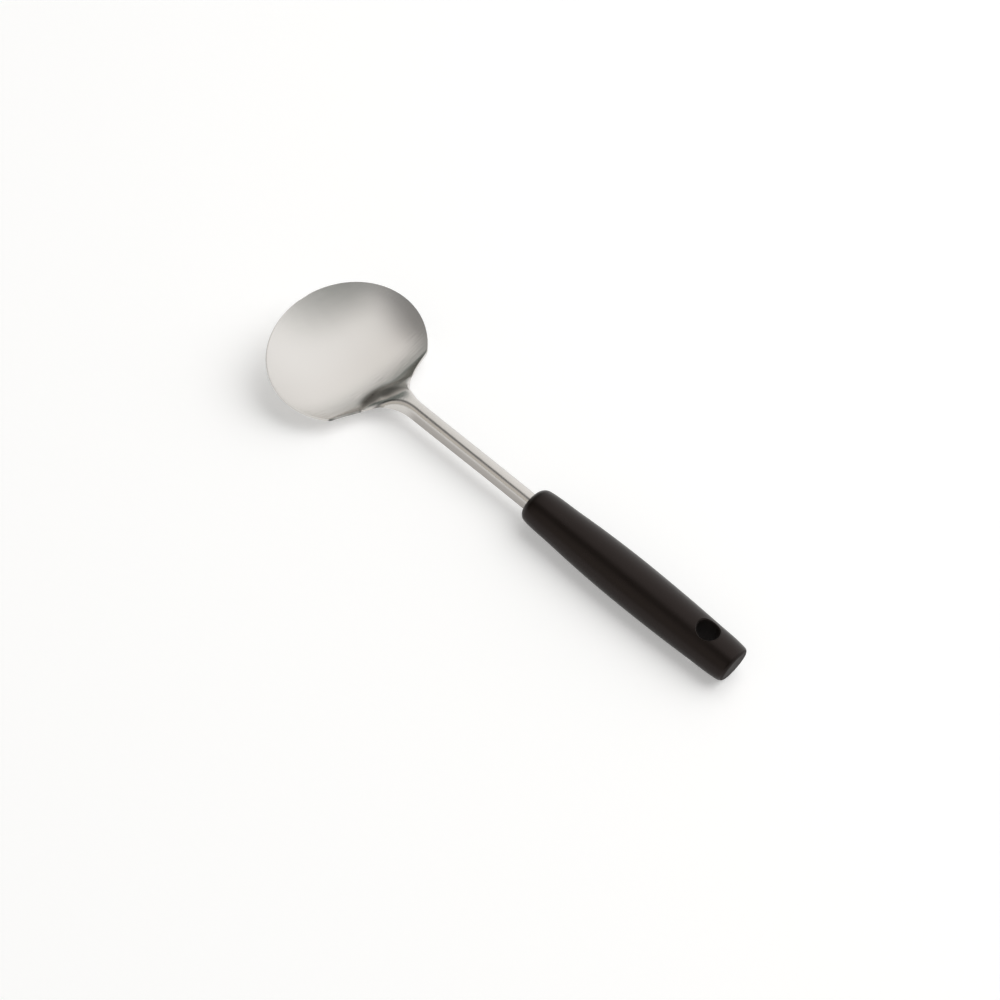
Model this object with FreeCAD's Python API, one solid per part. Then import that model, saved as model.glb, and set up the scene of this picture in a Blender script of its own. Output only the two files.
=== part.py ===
import FreeCAD
import Part
import math
import os

# A wok turner with a round dished head, lying as it comes to rest on a table.
# Millimetres, +Z up. X runs from the tip of the head (-X) to the handle's end (+X).
# Two solids: head, neck, shaft and tang are one pressed steel sheet, and the
# handle is moulded around the tang.

# Overall
LENGTH = 320.0            # tip of the head to the end of the handle
HANDLE_LENGTH = 143.4     # front dome to end face

# Head
HEAD_WIDTH = 110.6        # rim, across
HEAD_LENGTH = 78.6        # rim, along its own plane
HEAD_TILT = 16.6          # degrees between the rim plane and the handle's axis
HEAD_RISE = 2.5           # rim centre above the handle's axis
DISH_DEPTH = 13.0         # rim plane down to the lowest point of the dish
SHEET = 1.1               # thickness of the steel

# Shaft and tang
SHAFT_WIDTH = 10.1        # outside, across the channel
CROWN_AT_HANDLE = 3.9     # crown of the channel above the handle's axis
CROWN_AT_NECK = 3.3
EDGE_AT_HANDLE = -3.2     # lower edges of the channel
EDGE_AT_NECK = -4.3
TANG_LENGTH = 70.0        # inside the handle

# Neck
FLARE_ANGLE = 131.0       # degrees round the rim from the tip to where the neck leaves it
FLARE_LENGTH = 16.8       # the shaft's straight side starts this far past the rim's oval
FLARE_PULL_AT_RIM = 3.8   # how long the neck's edge keeps the rim's direction
FLARE_PULL_AT_SHAFT = 24.6
EDGE_RISE = 17.0          # length over which the edge lifts from rim to shaft
RAMP_FOOT = 14.3          # how far past the rim the ramp of the neck meets the dish
RAMP_SLOPE = 43.0         # degrees
RAMP_BEND = 9.0           # rounding between the ramp and the crown of the shaft
NOSE_HALF_WIDTH = 20.0    # the foot of the ramp is round like a nose:
NOSE_SWEEP = 4.5          # at this half width it lies so much nearer the shaft
NOSE_CREASE = 1.6         # rounding between the nose and the dish, in the middle
NOSE_CREASE_AT_RIM = 8.0  # and where it runs out into the rim
SPREAD_START = 8.0        # behind the rim, where the channel's sides start to lean out
SPREAD_END = -7.5         # where they lie flat
FULLNESS = 0.16           # how square the channel's shoulders are, 0 for an ellipse

# Handle
HANDLE_ASPECT = 1.23      # width over thickness
HANDLE_HALF_WIDTHS = (    # share of the length from the front, half width
    (0.055, 11.85),
    (0.170, 12.90),
    (0.280, 13.75),
    (0.400, 14.35),
    (0.530, 14.50),
    (0.650, 14.25),
    (0.760, 13.80),
    (0.860, 13.25),
    (0.955, 12.40),
)
FRONT_ROUND = 5.0         # edge radius at the front
END_ROUND = 2.8           # edge radius at the end face
HOLE_RADIUS = 6.5
HOLE_FROM_END = 21.7
HOLE_EDGE = 0.7           # broken edge at both mouths of the hanging hole
SOCKET_GAP = 0.12         # tang to plastic, all round
SLOT_AHEAD = 12.0         # the slot's cutter starts this far ahead of the handle

# How finely the surfaces are controlled
SECTION_ROWS = 9          # control rows from the middle to one edge
BEND_SHARE = 5.0          # how much closer the rows are where the section bends
TIP_TURN = 5.0            # degrees round the rim taken by the first station
RIM_STEP = 6.5            # spacing of control stations along the rim
NECK_STEP = 2.2
SHAFT_STEP = 20.0
BARREL_ROWS = 12          # rows over the upper or the lower half of the barrel
BARREL_STEPS = 9          # stations between its rounded ends
ROUND_STEPS = 5           # stations in each rounded end
SLOT_STEPS = 10           # along the tang's slot

# Derived places along X
TIP_X = -LENGTH / 2.0
END_X = LENGTH / 2.0
FRONT_X = END_X - HANDLE_LENGTH
TILT = math.radians(HEAD_TILT)
A = HEAD_LENGTH / 2.0 * math.cos(TILT)
B = HEAD_WIDTH / 2.0
HEAD_X = TIP_X + A
RIM_END_X = HEAD_X + A
SIDE = SHAFT_WIDTH / 2.0
TANG_END_X = FRONT_X + TANG_LENGTH


def blend(a, b, t):
    """From a to b with level ends as t goes from 0 to 1."""
    t = min(1.0, max(0.0, t))
    s = t * t * t * (t * (6.0 * t - 15.0) + 10.0)
    return a + (b - a) * s


def soft_min(a, b, width):
    """The lower of two heights, rounded where they cross."""
    d = max(width - abs(a - b), 0.0) / width
    return min(a, b) - d * d * d * width / 6.0


def rim_plane(x):
    return HEAD_RISE - math.tan(TILT) * (x - HEAD_X)


def dish(x, y):
    """Upper face of the dish, carried on beyond the rim."""
    r2 = ((x - HEAD_X) / A) ** 2 + (y / B) ** 2
    depth = DISH_DEPTH / math.cos(TILT)
    return rim_plane(x) - depth * (1.0 - r2)


def crown(x):
    return blend(CROWN_AT_NECK, CROWN_AT_HANDLE, (x - RIM_END_X) / (FRONT_X - RIM_END_X))


def edge(x):
    return blend(EDGE_AT_NECK, EDGE_AT_HANDLE, (x - RIM_END_X) / (FRONT_X - RIM_END_X))


def rim(x):
    """Height of the sheet's edge: the rim plane, lifting to the edge of the shaft."""
    t = (x - RIM_END_X) / EDGE_RISE + 0.8
    return blend(rim_plane(x), edge(x), t)


def ramp(x):
    """Height along the middle of the neck: the crown of the shaft, then the fall."""
    foot = RIM_END_X - RAMP_FOOT
    fall = dish(foot, 0.0) + math.tan(math.radians(RAMP_SLOPE)) * (x - foot)
    return soft_min(crown(x), fall, RAMP_BEND)


def dished(x, w, v):
    """Height at a share v of the half width where the section is laid open."""
    bowl = dish(x, 0.0) + (rim(x) - dish(x, 0.0)) * v * v
    swept = NOSE_SWEEP * (w * v / NOSE_HALF_WIDTH) ** 2 * blend(0.0, 1.0, w / NOSE_HALF_WIDTH - 0.8)
    nose = ramp(x - swept)
    nose = nose + soft_min(0.0, rim(x) - nose, 1.0) * v * v
    behind = (x - RIM_END_X) / RAMP_FOOT + 1.0
    crease = blend(NOSE_CREASE, NOSE_CREASE_AT_RIM, behind * 1.6) * (1.15 - v * v)
    return -soft_min(-bowl, -nose, crease)


def outline():
    """The edge of the sheet in plan, as stations (x, half width) from tip to tang."""
    turn = math.radians(FLARE_ANGLE)
    line = []
    steps = 600
    tip = math.radians(TIP_TURN)
    for k in range(steps + 1):
        t = tip + (turn - tip) * k / steps
        line.append((HEAD_X - A * math.cos(t), B * math.sin(t)))
    along = math.hypot(A * math.sin(turn), B * math.cos(turn))
    neck_x = RIM_END_X + FLARE_LENGTH
    p0 = line[-1]
    p1 = (p0[0] + FLARE_PULL_AT_RIM * A * math.sin(turn) / along,
          p0[1] + FLARE_PULL_AT_RIM * B * math.cos(turn) / along)
    p2 = (neck_x - FLARE_PULL_AT_SHAFT, SIDE)
    p3 = (neck_x, SIDE)
    for k in range(1, steps + 1):
        t = k / steps
        weights = ((1 - t) ** 3, 3 * t * (1 - t) ** 2, 3 * t * t * (1 - t), t ** 3)
        line.append(tuple(sum(g * p[i] for g, p in zip(weights, (p0, p1, p2, p3)))
                          for i in (0, 1)))
    line += [(neck_x + (TANG_END_X - neck_x) * k / steps, SIDE) for k in range(1, steps + 1)]
    lengths = [0.0]
    for p, q in zip(line, line[1:]):
        lengths.append(lengths[-1] + math.dist(p, q))
    neck_start, neck_end = lengths[steps], lengths[2 * steps]
    stations = []
    s = 0.0
    i = 0
    step = RIM_STEP
    while s < lengths[-1] - step / 2.0:
        while lengths[i + 1] < s:
            i += 1
        f = (s - lengths[i]) / (lengths[i + 1] - lengths[i])
        p, q = line[i], line[i + 1]
        stations.append((p[0] + (q[0] - p[0]) * f, p[1] + (q[1] - p[1]) * f))
        if s < neck_start:
            step = blend(NECK_STEP, RIM_STEP, (neck_start - s) / 40.0)
        else:
            step = blend(NECK_STEP, SHAFT_STEP, (s - neck_end) / 50.0)
        s += step
    stations.append(line[-1])
    return stations


def half_section(x, w):
    """Points of the upper face from the middle to one edge at a station."""
    opened = blend(0.0, 1.0, (RIM_END_X + SPREAD_START - x) / (SPREAD_START - SPREAD_END))
    count = 200
    line = []
    for k in range(count + 1):
        v = k / count
        sin = math.sin(math.pi / 2.0 * v)
        cos = math.cos(math.pi / 2.0 * v)
        arch_y = w * sin * (1.0 + FULLNESS * cos * cos)
        arch_z = rim(x) + (ramp(x) - rim(x)) * cos * (1.0 + FULLNESS * sin * sin)
        open_z = dished(x, w, v)
        line.append((arch_y + (w * v - arch_y) * opened, arch_z + (open_z - arch_z) * opened))
    return spread(line, SECTION_ROWS)


def spread(line, parts):
    """Points along a line, closer together where it bends."""
    reach = [0.0]
    heading = None
    for p, q in zip(line, line[1:]):
        last = heading
        heading = math.atan2(q[1] - p[1], q[0] - p[0])
        turn = 0.0 if last is None else abs(heading - last)
        reach.append(reach[-1] + math.dist(p, q) + BEND_SHARE * turn)
    points = []
    i = 0
    for k in range(parts + 1):
        s = reach[-1] * k / parts
        while i < len(line) - 2 and reach[i + 1] < s:
            i += 1
        f = (s - reach[i]) / (reach[i + 1] - reach[i])
        p, q = line[i], line[i + 1]
        points.append((p[0] + (q[0] - p[0]) * f, p[1] + (q[1] - p[1]) * f))
    return points


def pressed_rows(stations):
    """Grid of points on the upper face, one row per station, edge to edge."""
    rows = []
    for x, w in stations:
        half = half_section(x, w)
        row = [FreeCAD.Vector(x, -y, z) for y, z in reversed(half[1:])]
        row += [FreeCAD.Vector(x, y, z) for y, z in half]
        rows.append(row)
    return rows


def through(points, times):
    """Control points of the cubic that passes through a row of points."""
    curve = Part.BSplineCurve()
    curve.interpolate(Points=points, Parameters=times)
    return curve.getPoles()


def even(count):
    return [float(k) for k in range(count)]


def poles_from(rows, times=None):
    """Control points of the smooth surface that passes through the grid."""
    across = [through(row, even(len(row))) for row in rows]
    columns = [through(list(column), times or even(len(rows))) for column in zip(*across)]
    return [list(row) for row in zip(*columns)]


def spline_surface(poles, times=None):
    """A surface from a grid of control points, cubic wherever there are enough."""
    degrees = [3 if count > 3 else 1 for count in (len(poles), len(poles[0]))]
    knots = [times or even(len(poles) - degrees[0] + 1), even(len(poles[0]) - degrees[1] + 1)]
    mults = [[d + 1] + [1] * (len(k) - 2) + [d + 1] for d, k in zip(degrees, knots)]
    surface = Part.BSplineSurface()
    surface.buildFromPolesMultsKnots(
        poles, mults[0], mults[1], knots[0], knots[1], False, False, degrees[0], degrees[1])
    return surface


def offset_rows(rows, distance):
    """The grid moved along the normals of its smooth surface, which point up."""
    surface = spline_surface(poles_from(rows))
    moved = []
    for i, row in enumerate(rows):
        moved.append([p + surface.normal(float(i), float(j)) * distance
                      for j, p in enumerate(row)])
    return moved


def thick_sheet(top, bottom):
    """A closed solid between two grids of control points of the same size."""
    grids = [
        top,
        bottom,
        [top[0], bottom[0]],
        [top[-1], bottom[-1]],
        [[r[0] for r in top], [r[0] for r in bottom]],
        [[r[-1] for r in top], [r[-1] for r in bottom]],
    ]
    shell = Part.makeShell([spline_surface(g).toShape() for g in grids])
    shell.sewShape()
    solid = Part.makeSolid(shell)
    if solid.Volume < 0.0:
        solid.reverse()
    return solid


def turner():
    rows = pressed_rows(outline())
    below = offset_rows(rows, -SHEET)
    return thick_sheet(poles_from(rows), poles_from(below))


def tang_slot():
    """The space the tang takes in the plastic."""
    start = FRONT_X - SLOT_AHEAD
    length = SLOT_AHEAD + TANG_LENGTH + SOCKET_GAP
    xs = [start + length * k / SLOT_STEPS for k in range(SLOT_STEPS + 1)]
    rows = pressed_rows([(x, SIDE) for x in xs])
    above = offset_rows(rows, SOCKET_GAP)
    below = offset_rows(rows, -SHEET - SOCKET_GAP)
    for grid in (above, below):
        for row in grid:
            row[0] = row[0] + (row[0] - row[1]).normalize() * SOCKET_GAP
            row[-1] = row[-1] + (row[-1] - row[-2]).normalize() * SOCKET_GAP
    return thick_sheet(poles_from(above), poles_from(below))


def barrel_line():
    """Stations (x, half width) of the barrel, from its front face to its end face."""
    side = [FreeCAD.Vector(FRONT_X + f * HANDLE_LENGTH, r, 0) for f, r in HANDLE_HALF_WIDTHS]
    front_slope = (side[1] - side[0]) * (side[0].x - FRONT_X) / (side[1].x - side[0].x)
    end_slope = (side[-1] - side[-2]) * (END_X - side[-1].x) / (side[-1].x - side[-2].x)
    side = [side[0] - front_slope] + side + [side[-1] + end_slope]
    curve = Part.BSplineCurve()
    curve.interpolate(Points=side, Parameters=[p.x for p in side])
    stations = []
    for k in range(ROUND_STEPS):
        turn = math.pi / 2.0 * k / ROUND_STEPS
        stations.append((FRONT_X + FRONT_ROUND * (1.0 - math.cos(turn)),
                         FRONT_ROUND * (1.0 - math.sin(turn))))
    start = FRONT_X + FRONT_ROUND
    stop = END_X - END_ROUND
    for k in range(BARREL_STEPS + 1):
        stations.append((start + (stop - start) * k / BARREL_STEPS, 0.0))
    for k in range(1, ROUND_STEPS + 1):
        turn = math.pi / 2.0 * k / ROUND_STEPS
        stations.append((stop + END_ROUND * math.sin(turn), END_ROUND * (1.0 - math.cos(turn))))
    return [(x, curve.value(x).y - lost) for x, lost in stations]


def barrel():
    """Solid of the oval barrel: an upper and a lower skin and two flat ends."""
    line = barrel_line()
    times = [0.0]
    for p, q in zip(line, line[1:]):
        times.append(times[-1] + math.dist(p, q))
    skins = []
    for up in (1.0, -1.0):
        rows = []
        for x, r in line:
            row = []
            for k in range(BARREL_ROWS + 1):
                turn = math.pi * k / BARREL_ROWS
                height = up * r * math.sin(turn) / HANDLE_ASPECT
                row.append(FreeCAD.Vector(x, r * math.cos(turn), height))
            rows.append(row)
        skins.append(spline_surface(poles_from(rows, times), times))
    faces = [skin.toShape() for skin in skins]
    for u in (times[0], times[-1]):
        faces.append(Part.Face(Part.Wire([skin.uIso(u).toShape() for skin in skins])))
    shell = Part.makeShell(faces)
    shell.sewShape()
    solid = Part.makeSolid(shell)
    if solid.Volume < 0.0:
        solid.reverse()
    return solid


def handle():
    """The barrel with its hanging hole and the slot for the tang."""
    body = barrel()
    hole_x = END_X - HOLE_FROM_END
    deep = HEAD_WIDTH
    body = body.cut(Part.makeCylinder(HOLE_RADIUS, deep, FreeCAD.Vector(hole_x, 0, -deep / 2.0)))
    mouths = []
    for e in body.Edges:
        points = e.discretize(9)
        on_bore = all(abs(math.hypot(p.x - hole_x, p.y) - HOLE_RADIUS) < 0.02 for p in points)
        if on_bore and points[0].distanceToPoint(points[4]) > HOLE_RADIUS / 2.0:
            if math.hypot(points[0].x - points[4].x, points[0].y - points[4].y) > 1.0:
                mouths.append(e)
    body = body.makeChamfer(HOLE_EDGE, mouths)
    return body.cut(tang_slot()).Solids[0]


def lay_down(shapes):
    """Turn the part until head and handle both touch the table, then centre it."""
    def turned(shape, angle):
        copy = shape.copy()
        copy.rotate(FreeCAD.Vector(0, 0, 0), FreeCAD.Vector(0, 1, 0), angle)
        return copy
    low = -6.0
    high = 6.0
    while high - low > 1e-5:
        angle = (low + high) / 2.0
        head, grip = [turned(s, angle).optimalBoundingBox(False, False) for s in shapes]
        if head.ZMin < grip.ZMin:
            low = angle
        else:
            high = angle
    move = FreeCAD.Vector(-(head.XMin + grip.XMax) / 2.0, 0, -head.ZMin)
    laid = [turned(s, angle) for s in shapes]
    for shape in laid:
        shape.translate(move)
    return laid


steel, grip = lay_down([turner(), handle()])

os.makedirs("parts", exist_ok=True)
steel.exportStep("parts/head_and_shaft.step")
grip.exportStep("parts/handle.step")
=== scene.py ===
# %% [markdown]
# # A wok turner
# A round dished head, a slim shaft and a black barrel handle. Head, neck and
# shaft are one sheet of stainless steel, so the steel is one piece here too.
# The solids come from the CAD model and already have the right shape, so this
# lesson is about what shapes don't carry: the finish, the light and the camera.

# %% Load the solids
import bpy
import bmesh
import math
from mathutils import Matrix, Vector


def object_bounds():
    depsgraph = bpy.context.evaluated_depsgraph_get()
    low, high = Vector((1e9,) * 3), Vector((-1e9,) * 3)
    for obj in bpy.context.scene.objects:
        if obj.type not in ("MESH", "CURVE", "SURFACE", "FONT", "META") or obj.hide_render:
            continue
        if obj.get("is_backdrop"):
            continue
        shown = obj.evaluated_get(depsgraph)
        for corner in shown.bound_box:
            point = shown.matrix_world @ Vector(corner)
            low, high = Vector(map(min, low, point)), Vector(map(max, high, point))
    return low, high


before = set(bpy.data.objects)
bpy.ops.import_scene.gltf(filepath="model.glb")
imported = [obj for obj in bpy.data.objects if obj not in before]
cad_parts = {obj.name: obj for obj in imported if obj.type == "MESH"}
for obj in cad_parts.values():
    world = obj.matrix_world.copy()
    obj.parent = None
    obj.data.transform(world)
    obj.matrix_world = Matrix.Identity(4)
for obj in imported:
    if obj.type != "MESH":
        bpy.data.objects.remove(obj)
cad_low, cad_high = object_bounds()
steel_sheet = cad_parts["head_and_shaft"]
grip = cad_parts["handle"]
print("solids:", sorted(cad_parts))
print("box from", tuple(cad_low), "to", tuple(cad_high))

# %% [markdown]
# ## The camera
# The picture looks down on the tool from its near side and a little from the
# handle's end, and the camera is rolled so that the tool runs across the frame.
# It stands 1.2 m away with a long lens. A nearer camera would swell the handle
# and shrink the head. The lens follows from the picture's width in pixels.

# %% Camera
PICTURE_WIDTH = 1000.0                # pixels
FOCAL_LENGTH = 2189.4                 # the lens, in the same pixels
SENSOR_WIDTH = 36.0                   # millimetres
NEAREST = 0.05                        # metres; nothing nearer is drawn
FURTHEST = 20.0                       # and nothing further away
CAMERA_AT = Vector((0.36427, -0.71294, 0.90702))
CAMERA_RIGHT = Vector((0.74360, 0.63791, 0.20031))
CAMERA_UP = Vector((-0.59657, 0.49771, 0.62960))


def add_camera(at, right, up):
    """A camera whose picture has the given sideways and upward directions."""
    data = bpy.data.cameras.new("camera")
    data.sensor_width = SENSOR_WIDTH
    data.sensor_fit = "HORIZONTAL"
    data.lens = FOCAL_LENGTH * SENSOR_WIDTH / PICTURE_WIDTH
    data.clip_start = NEAREST
    data.clip_end = FURTHEST
    camera = bpy.data.objects.new("camera", data)
    bpy.context.scene.collection.objects.link(camera)
    right = right.normalized()
    back = right.cross(up).normalized()
    turn = Matrix((right, back.cross(right), back)).transposed().to_4x4()
    camera.matrix_world = Matrix.Translation(at) @ turn
    bpy.context.scene.camera = camera
    return camera


camera = add_camera(CAMERA_AT, CAMERA_RIGHT, CAMERA_UP)
print("lens in millimetres:", round(camera.data.lens, 1))

# %% [markdown]
# ## Small helpers for materials
# A material is a small graph of nodes. `new_material` starts one with a single
# Principled shader, and the other helpers add the parts that both finishes use.
# Every pattern reads Object coordinates, which are metres on the piece itself,
# so it stays on the piece when the tool or the camera moves.

# %% Material helpers
NOISE_MIDDLE = (0.3, 0.7)             # most of the noise lies between these
EVEN = (1.0, 1.0, 1.0)                # noise that isn't stretched


def new_material(name, colour, metallic, roughness):
    """A material with one Principled shader, which is returned with it."""
    material = bpy.data.materials.new(name)
    material.use_nodes = True
    shader = material.node_tree.nodes["Principled BSDF"]
    shader.inputs["Base Color"].default_value = (*colour, 1.0)
    shader.inputs["Metallic"].default_value = metallic
    shader.inputs["Roughness"].default_value = roughness
    return material, shader


def noise(tree, stretch, scale, detail=2.0):
    """Noise over the piece; a stretch below 1 draws it out along that axis."""
    place = tree.nodes.new("ShaderNodeTexCoord")
    mapping = tree.nodes.new("ShaderNodeMapping")
    texture = tree.nodes.new("ShaderNodeTexNoise")
    mapping.inputs["Scale"].default_value = stretch
    texture.inputs["Scale"].default_value = scale
    texture.inputs["Detail"].default_value = detail
    tree.links.new(place.outputs["Object"], mapping.inputs["Vector"])
    tree.links.new(mapping.outputs["Vector"], texture.inputs["Vector"])
    return texture.outputs["Fac"]


def spread_between(tree, value, low, high):
    """The noise's middle range, drawn out between two numbers."""
    node = tree.nodes.new("ShaderNodeMapRange")
    node.inputs["From Min"].default_value = NOISE_MIDDLE[0]
    node.inputs["From Max"].default_value = NOISE_MIDDLE[1]
    node.inputs["To Min"].default_value = low
    node.inputs["To Max"].default_value = high
    tree.links.new(value, node.inputs["Value"])
    return node.outputs["Result"]


def bump(tree, shader, height, distance, strength):
    """Fine relief on the shader; distance is its real height in metres."""
    node = tree.nodes.new("ShaderNodeBump")
    node.inputs["Distance"].default_value = distance
    node.inputs["Strength"].default_value = strength
    tree.links.new(height, node.inputs["Height"])
    tree.links.new(node.outputs["Normal"], shader.inputs["Normal"])


def give(piece, material):
    """Puts the material in every slot of a piece that keeps its own mesh."""
    for slot in piece.material_slots:
        slot.material = material


print("pieces to dress:", steel_sheet.name, "and", grip.name)

# %% [markdown]
# ## Small helpers for masks
# One piece can have more than one finish. Each place is found from its x and y on
# the piece. A mask is a number that is 1 in the place and 0 elsewhere, with soft
# ends, and masks are joined by products and by the larger of two. `mixed` then
# picks a colour by a mask.

# %% Mask helpers


def coordinates(tree, kind):
    """The x, y and z of each point, in the coordinates of that kind."""
    place = tree.nodes.new("ShaderNodeTexCoord")
    parts = tree.nodes.new("ShaderNodeSeparateXYZ")
    tree.links.new(place.outputs[kind], parts.inputs["Vector"])
    return parts.outputs["X"], parts.outputs["Y"], parts.outputs["Z"]


def mixed(tree, blend_type, factor, a, b):
    """Two colours mixed; a factor or colour is a link or a plain value."""
    mix = tree.nodes.new("ShaderNodeMix")
    mix.data_type = "RGBA"
    mix.blend_type = blend_type
    for name, value in (("Factor", factor), ("A", a), ("B", b)):
        if isinstance(value, bpy.types.NodeSocket):
            tree.links.new(value, mix.inputs[name])
        else:
            mix.inputs[name].default_value = value
    return mix.outputs["Result"]


def step(tree, value, start, end):
    """0 before start and 1 past end, or the other way round, with soft ends."""
    node = tree.nodes.new("ShaderNodeMapRange")
    node.interpolation_type = "SMOOTHSTEP"
    node.inputs["From Min"].default_value = min(start, end)
    node.inputs["From Max"].default_value = max(start, end)
    node.inputs["To Min"].default_value = 0.0 if start < end else 1.0
    node.inputs["To Max"].default_value = 1.0 if start < end else 0.0
    tree.links.new(value, node.inputs["Value"])
    return node.outputs["Result"]


def joined(tree, operation, a, b):
    """Two links, or a link and a number, joined by a Math node."""
    node = tree.nodes.new("ShaderNodeMath")
    node.operation = operation
    tree.links.new(a, node.inputs[0])
    if isinstance(b, bpy.types.NodeSocket):
        tree.links.new(b, node.inputs[1])
    else:
        node.inputs[1].default_value = b
    return node.outputs["Value"]


def squared(tree, value):
    """A link times itself."""
    return joined(tree, "MULTIPLY", value, value)


def band(tree, value, marks):
    """1 between the two middle marks, and 0 outside the outer ones."""
    rise = step(tree, value, marks[0], marks[1])
    fall = step(tree, value, marks[3], marks[2])
    return joined(tree, "MULTIPLY", rise, fall)


for piece in (steel_sheet, grip):
    along = [corner[0] for corner in piece.bound_box]
    print(piece.name, "runs from x", round(min(along), 4), "to", round(max(along), 4))

# %% [markdown]
# ## Painted shade in the neck's corner
# The neck runs into the dish with a round nose. The corner at its foot and the middle
# of the slope above it are painted darker: painted shade for the shadow and the dark
# reflections there. The foot is a shallow curve across the tool. Both masks follow
# it: x is moved back by the curve's bulge at that y, and each mask is a band along
# the tool times a band across it. The corner's band reaches further on the near
# side, where the pocket beside the nose is deepest.

# %% The corner of the neck
FOOT_X = -0.0985                      # the foot in the middle of the dish
FOOT_BULGE = 11.0                     # how fast it bends away, per metre
CORNER_ALONG = (-0.005, 0.001, 0.003, 0.012)         # from the foot to the handle
CORNER_ACROSS = (-0.018, -0.0105, -0.0063, 0.0147)
SLOPE_ALONG = (0.001, 0.005, 0.009, 0.018)
SLOPE_ACROSS = (-0.009, -0.003, 0.003, 0.009)


def neck_painted_shade(tree):
    """1 where the neck's corner gets painted shade, and 0 on the rest of the steel."""
    x, y = coordinates(tree, "Object")[:2]
    bulge = joined(tree, "MULTIPLY", squared(tree, y), FOOT_BULGE)
    behind = joined(tree, "SUBTRACT", joined(tree, "SUBTRACT", x, bulge), FOOT_X)
    masks = []
    for along, across in ((CORNER_ALONG, CORNER_ACROSS), (SLOPE_ALONG, SLOPE_ACROSS)):
        masks.append(joined(tree, "MULTIPLY", band(tree, behind, along), band(tree, y, across)))
    return joined(tree, "MAXIMUM", masks[0], masks[1])


print("dark corner, millimetres across:", round((CORNER_ACROSS[3] - CORNER_ACROSS[0]) * 1000.0, 1))

# %% [markdown]
# ## Painted shade on the sides of the shaft
# The two sides of the shaft's channel are painted darker than its crown: painted
# shade for the dimmer reflections along them. They are found by how far they lie
# from the middle, from behind the neck on. The square of y does for both sides at once.

# %% The sides of the shaft
SIDE_Y = (0.0040, 0.0047)             # where the crown turns down into the side
SIDE_X = (-0.074, -0.064)             # where the flare has become the shaft


def shaft_painted_shade(tree):
    """1 on both sides of the shaft, where shade is painted, and 0 on the rest of the steel."""
    x, y = coordinates(tree, "Object")[:2]
    side = step(tree, squared(tree, y), SIDE_Y[0] ** 2, SIDE_Y[1] ** 2)
    return joined(tree, "MULTIPLY", side, step(tree, x, *SIDE_X))


print("crown, millimetres across:", round(SIDE_Y[0] * 2000.0, 1))

# %% [markdown]
# ## Satin stainless steel
# Satin steel is a mirror seen through fine scratches. The scratches are far too
# small to see one by one, so they are a medium roughness, which blurs what the
# steel mirrors into soft patches. A slow change of roughness over the head keeps
# the patches from looking computed, and a grain along the tool gives the surface
# a tooth that shows only up close. The two masks then darken the base colour with
# painted shade in the corner of the neck and on the sides of the shaft.

# %% Steel
STEEL_COLOUR = (0.63, 0.61, 0.585)
# painted shade for the neck's corner and the slope above it
CORNER_PAINTED_SHADE = (0.19, 0.178, 0.165)
# painted shade for the sides of the shaft
SIDE_PAINTED_SHADE = (0.41, 0.39, 0.37)
STEEL_ROUGHNESS = 0.23
STEEL_CHANGES = (0.2, 0.26)           # the roughness changes between these
STEEL_PATCHES = 25.0                  # how close the changes lie, per metre
STEEL_GRAIN = 3000.0                  # how fine the grain is, per metre
STEEL_STRETCH = (0.12, 1.0, 1.0)      # the grain is drawn out along the tool
STEEL_RELIEF = 0.00001                # the grain's height in metres
STEEL_TOOTH = 0.25                    # how much of the relief shows


def satin_steel():
    """Polished steel, with painted shade in the neck's corner and on the shaft's sides."""
    material, shader = new_material("satin_steel", STEEL_COLOUR, 1.0, STEEL_ROUGHNESS)
    tree = material.node_tree
    slow = noise(tree, EVEN, STEEL_PATCHES)
    tree.links.new(spread_between(tree, slow, *STEEL_CHANGES), shader.inputs["Roughness"])
    # painted shade in the neck's corner and on the slope above it
    colour = mixed(tree, "MIX", neck_painted_shade(tree), (*STEEL_COLOUR, 1.0), (*CORNER_PAINTED_SHADE, 1.0))
    # painted shade on the sides of the shaft
    colour = mixed(tree, "MIX", shaft_painted_shade(tree), colour, (*SIDE_PAINTED_SHADE, 1.0))
    tree.links.new(colour, shader.inputs["Base Color"])
    grain = noise(tree, STEEL_STRETCH, STEEL_GRAIN)
    bump(tree, shader, grain, STEEL_RELIEF, STEEL_TOOTH)
    return material


give(steel_sheet, satin_steel())
print("steel slots:", len(steel_sheet.material_slots))

# %% [markdown]
# ## Black plastic
# Moulded plastic isn't quite black, and its fine texture spreads a light into a
# broad, faint sheen instead of a sharp glint. So the base colour is a very dark
# brown, the roughness is medium and the relief is a fine grain. The mould's parts
# that shape the end face and the hole are left rough, so these two places are matt.
# One mask finds the end by its x and the hole by the distance from its middle.

# %% Plastic
PLASTIC_COLOUR = (0.0072, 0.0050, 0.0036)
PLASTIC_GLOSS = 0.27                  # about half of what smooth plastic mirrors
PLASTIC_SHEEN = (1.0, 0.84, 0.82)     # its mirror image is a little warm
PLASTIC_ROUGHNESS = 0.3
PLASTIC_CHANGES = (0.27, 0.34)        # the roughness changes between these
PLASTIC_PATCHES = 60.0                # how close the changes lie, per metre
PLASTIC_GRAIN = 2500.0                # how fine the grain is, per metre
PLASTIC_DETAIL = 4.0                  # how many finer layers the grain has
PLASTIC_RELIEF = 0.00002              # the grain's height in metres
PLASTIC_TOOTH = 0.3                   # how much of the relief shows
END_X = (0.1588, 0.1597)              # where the end's rounding becomes its face
HOLE_X = 0.1385
HOLE_RADIUS = (0.0071, 0.0066)        # where its broken edge becomes its wall
MATT = 0.35                           # how much rougher these two places are


def left_rough(tree):
    """1 on the end face and in the hanging hole, and 0 on the rest of the grip."""
    x, y = coordinates(tree, "Object")[:2]
    off = joined(tree, "SUBTRACT", x, HOLE_X)
    apart = joined(tree, "ADD", squared(tree, off), squared(tree, y))
    hole = step(tree, apart, HOLE_RADIUS[0] ** 2, HOLE_RADIUS[1] ** 2)
    return joined(tree, "MAXIMUM", step(tree, x, *END_X), hole)


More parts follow.
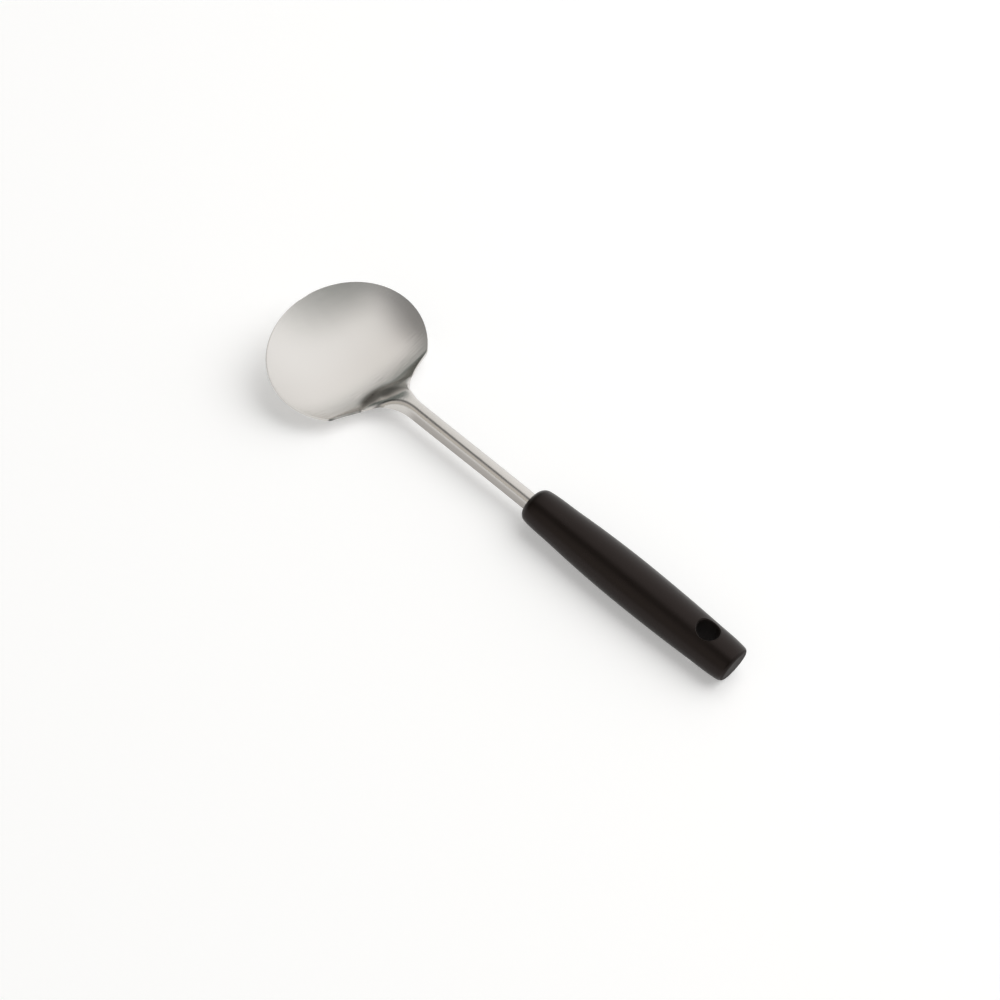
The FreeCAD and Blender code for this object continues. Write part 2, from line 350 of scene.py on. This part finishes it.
def black_plastic():
    """Moulded plastic with a faint warm sheen, matt on its end and in the hole."""
    material, shader = new_material("black_plastic", PLASTIC_COLOUR, 0.0, PLASTIC_ROUGHNESS)
    shader.inputs["Specular IOR Level"].default_value = PLASTIC_GLOSS
    shader.inputs["Specular Tint"].default_value = (*PLASTIC_SHEEN, 1.0)
    tree = material.node_tree
    slow = noise(tree, EVEN, PLASTIC_PATCHES)
    rough = spread_between(tree, slow, *PLASTIC_CHANGES)
    rough = joined(tree, "ADD", rough, joined(tree, "MULTIPLY", left_rough(tree), MATT))
    tree.links.new(rough, shader.inputs["Roughness"])
    grain = noise(tree, EVEN, PLASTIC_GRAIN, PLASTIC_DETAIL)
    bump(tree, shader, grain, PLASTIC_RELIEF, PLASTIC_TOOTH)
    return material


give(grip, black_plastic())
print("grip slots:", len(grip.material_slots))

# %% [markdown]
# ## What the rays see
# The picture's background is white. More light would make the floor white too,
# but it would burn out the steel. Instead the floor stays pale and matt, with its
# soft shadow, and adds a little glow of its own for rays that come straight from
# the camera, from the steel's mirror or through something clear. Light Path tells
# which ray it is, and the larger of its answers is taken. The room turns white in
# the same way, but not for the mirror, which needs the room's own shades.

# %% Seen rays
FLOOR_RAYS = ("Is Camera Ray", "Is Glossy Ray", "Is Transmission Ray")
ROOM_RAYS = ("Is Camera Ray", "Is Transmission Ray")


def seen_ray(tree, names):
    """1 for the rays of these kinds, and 0 for the light's own paths."""
    path = tree.nodes.new("ShaderNodeLightPath")
    seen = path.outputs[names[0]]
    for name in names[1:]:
        seen = joined(tree, "MAXIMUM", seen, path.outputs[name])
    return seen


print("kinds of ray for the floor and the room:", len(FLOOR_RAYS), len(ROOM_RAYS))

# %% [markdown]
# ## The floor
# The tool lies on a pale floor. It is one large face whose edge lies far outside
# the picture. It has no gloss to speak of, so it shows the tool's soft shadow and
# nothing else.

# %% Floor
FLOOR_SIZE = 24.0
FLOOR_COLOUR = (0.82, 0.82, 0.82)
FLOOR_ROUGHNESS = 0.9
FLOOR_GLOW = 0.3
FLOOR_DROP = 0.0002                   # metres that it lies below the tool
WHITE = (1.0, 1.0, 1.0, 1.0)


def pale_floor():
    """A matt floor that glows a little for the rays that show it."""
    material, shader = new_material("pale_floor", FLOOR_COLOUR, 0.0, FLOOR_ROUGHNESS)
    tree = material.node_tree
    glow = joined(tree, "MULTIPLY", seen_ray(tree, FLOOR_RAYS), FLOOR_GLOW)
    shader.inputs["Emission Color"].default_value = WHITE
    tree.links.new(glow, shader.inputs["Emission Strength"])
    return material


def add_floor():
    """One large square face just below the tool."""
    mesh = bpy.data.meshes.new("floor")
    form = bmesh.new()
    bmesh.ops.create_grid(form, x_segments=1, y_segments=1, size=FLOOR_SIZE / 2.0)
    form.to_mesh(mesh)
    form.free()
    mesh.materials.append(pale_floor())
    floor = bpy.data.objects.new("floor", mesh)
    bpy.context.scene.collection.objects.link(floor)
    floor.location.z = cad_low.z - FLOOR_DROP
    return floor


floor = add_floor()
floor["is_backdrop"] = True
print("floor height in millimetres:", round(floor.location.z * 1000.0, 2))

# %% [markdown]
# ## The room
# Steel shows its surroundings more than its own colour, so the room is really a
# picture for the steel to mirror. Seen from the tool it is a wide bright sheet
# over the far side, a warmer and slightly dimmer one over the near side, and a dark
# slot between them, a little to the near side of overhead. The slot is the dark
# line along the shaft and the handle. Both ends of the room are dark too, and shade
# the head's far rim and the neck. The shades depend only on a direction in the
# room: on its lean across the tool, its lean along it, and its lean askew, between
# the two, which rounds off the corner of the bright sheet. Low down, behind the
# floor, the room is plain white, which the steel mirrors too, and the camera sees
# that white at every height.

# %% Shades of the room
# the lean in degrees, and the light that comes from there
ACROSS = {
    -90: (0.70, 0.68, 0.65),
    -56: (1.02, 0.97, 0.90),
    -36: (0.74, 0.71, 0.68),
    -24: (0.27, 0.27, 0.27),
    -10: (0.22, 0.22, 0.22),
    6: (1.13, 1.12, 1.11),
    60: (1.25, 1.25, 1.25),
    90: (1.15, 1.15, 1.15),
}
ALONG = {
    -90: (0.30, 0.31, 0.30),
    -50: (0.17, 0.19, 0.18),
    -12: (0.94, 0.93, 0.92),
    26: (1.00, 1.00, 1.00),
    58: (0.30, 0.32, 0.31),
    90: (0.30, 0.31, 0.30),
}
ASKEW = {
    10: (1.0, 1.0, 1.0),
    34: (0.68, 0.69, 0.69),
}
HORIZON = {
    3: (1.0, 1.0, 1.0),
    12: (0.0, 0.0, 0.0),
}
print("shades across, along and askew:", len(ACROSS), len(ALONG), len(ASKEW))

# %% [markdown]
# ## From directions to light
# The world has no surface, so its pattern starts from the direction of each ray.
# The angle by which that direction leans towards an axis picks a shade from a
# ramp, and the shades across, along and askew are multiplied.

# %% Room


def lean(tree, part):
    """How far a direction leans towards an axis: 0 against, 0.5 square, 1 along."""
    angle = tree.nodes.new("ShaderNodeMath")
    angle.operation = "ARCSINE"
    tree.links.new(part, angle.inputs[0])
    share = tree.nodes.new("ShaderNodeMapRange")
    share.inputs["From Min"].default_value = -math.pi / 2.0
    share.inputs["From Max"].default_value = math.pi / 2.0
    tree.links.new(angle.outputs["Value"], share.inputs["Value"])
    return share.outputs["Result"]


def shades(tree, value, stops):
    """A ramp through the shades that are given for leans in degrees."""
    ramp = tree.nodes.new("ShaderNodeValToRGB")
    ramp.color_ramp.interpolation = "EASE"
    points = ramp.color_ramp.elements
    while len(points) < len(stops):
        points.new(0.5)
    for point, degrees in zip(points, sorted(stops)):
        point.position = (degrees + 90.0) / 180.0
    # a moved point can change places with another, so the colours come second
    for point, degrees in zip(points, sorted(stops)):
        point.color = (*stops[degrees], 1.0)
    tree.links.new(value, ramp.inputs["Fac"])
    return ramp.outputs["Color"]


def add_room():
    """Soft sheets of light overhead, and plain white low down."""
    world = bpy.data.worlds.new("room")
    bpy.context.scene.world = world
    world.use_nodes = True
    tree = world.node_tree
    x, y, z = coordinates(tree, "Generated")
    # halfway between X and minus Y, and one unit long like them
    askew = joined(tree, "SUBTRACT", x, y)
    askew = joined(tree, "MULTIPLY", askew, math.sqrt(0.5))
    corner = shades(tree, lean(tree, askew), ASKEW)
    across = shades(tree, lean(tree, y), ACROSS)
    along = shades(tree, lean(tree, x), ALONG)
    low = shades(tree, lean(tree, z), HORIZON)
    sheets = mixed(tree, "MULTIPLY", 1.0, across, along)
    sheets = mixed(tree, "MULTIPLY", 1.0, sheets, corner)
    white = joined(tree, "MAXIMUM", low, seen_ray(tree, ROOM_RAYS))
    colour = mixed(tree, "MIX", white, sheets, WHITE)
    tree.links.new(colour, tree.nodes["Background"].inputs["Color"])
    return world


room = add_room()
print("room nodes:", len(room.node_tree.nodes))

# %% [markdown]
# ## The lamp
# The room alone is a little dim, so one large soft lamp above the tool's far side
# brings white up to white. It is left out of the mirror, where the room already
# stands for it.

# %% Lamp
LAMP_AT = (0.35, 0.75, 1.5)
LAMP_SIZE = 2.0
LAMP_POWER = 12.5


def add_lamp(at, size, power):
    """A square lamp that faces the tool and isn't seen in its mirror."""
    data = bpy.data.lights.new("soft_lamp", "AREA")
    data.shape = "SQUARE"
    data.size = size
    data.energy = power
    lamp = bpy.data.objects.new("soft_lamp", data)
    bpy.context.scene.collection.objects.link(lamp)
    lamp.location = at
    lamp.rotation_euler = Vector(at).to_track_quat("Z", "Y").to_euler()
    lamp.visible_glossy = False
    return lamp


lamp = add_lamp(LAMP_AT, LAMP_SIZE, LAMP_POWER)
bpy.context.scene.view_settings.view_transform = "Standard"
print("lamp power in watts:", lamp.data.energy)

# %% [markdown]
# ## Sizes, and the end
# The dressed tool is measured against the solids, and the last line prints how
# much larger its box is than theirs.

# %% Finish
low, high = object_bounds()
grown = max(max(cad_low[i] - low[i], high[i] - cad_high[i]) for i in range(3))
print("larger than the solids by", round(grown * 1000.0, 3), "mm")
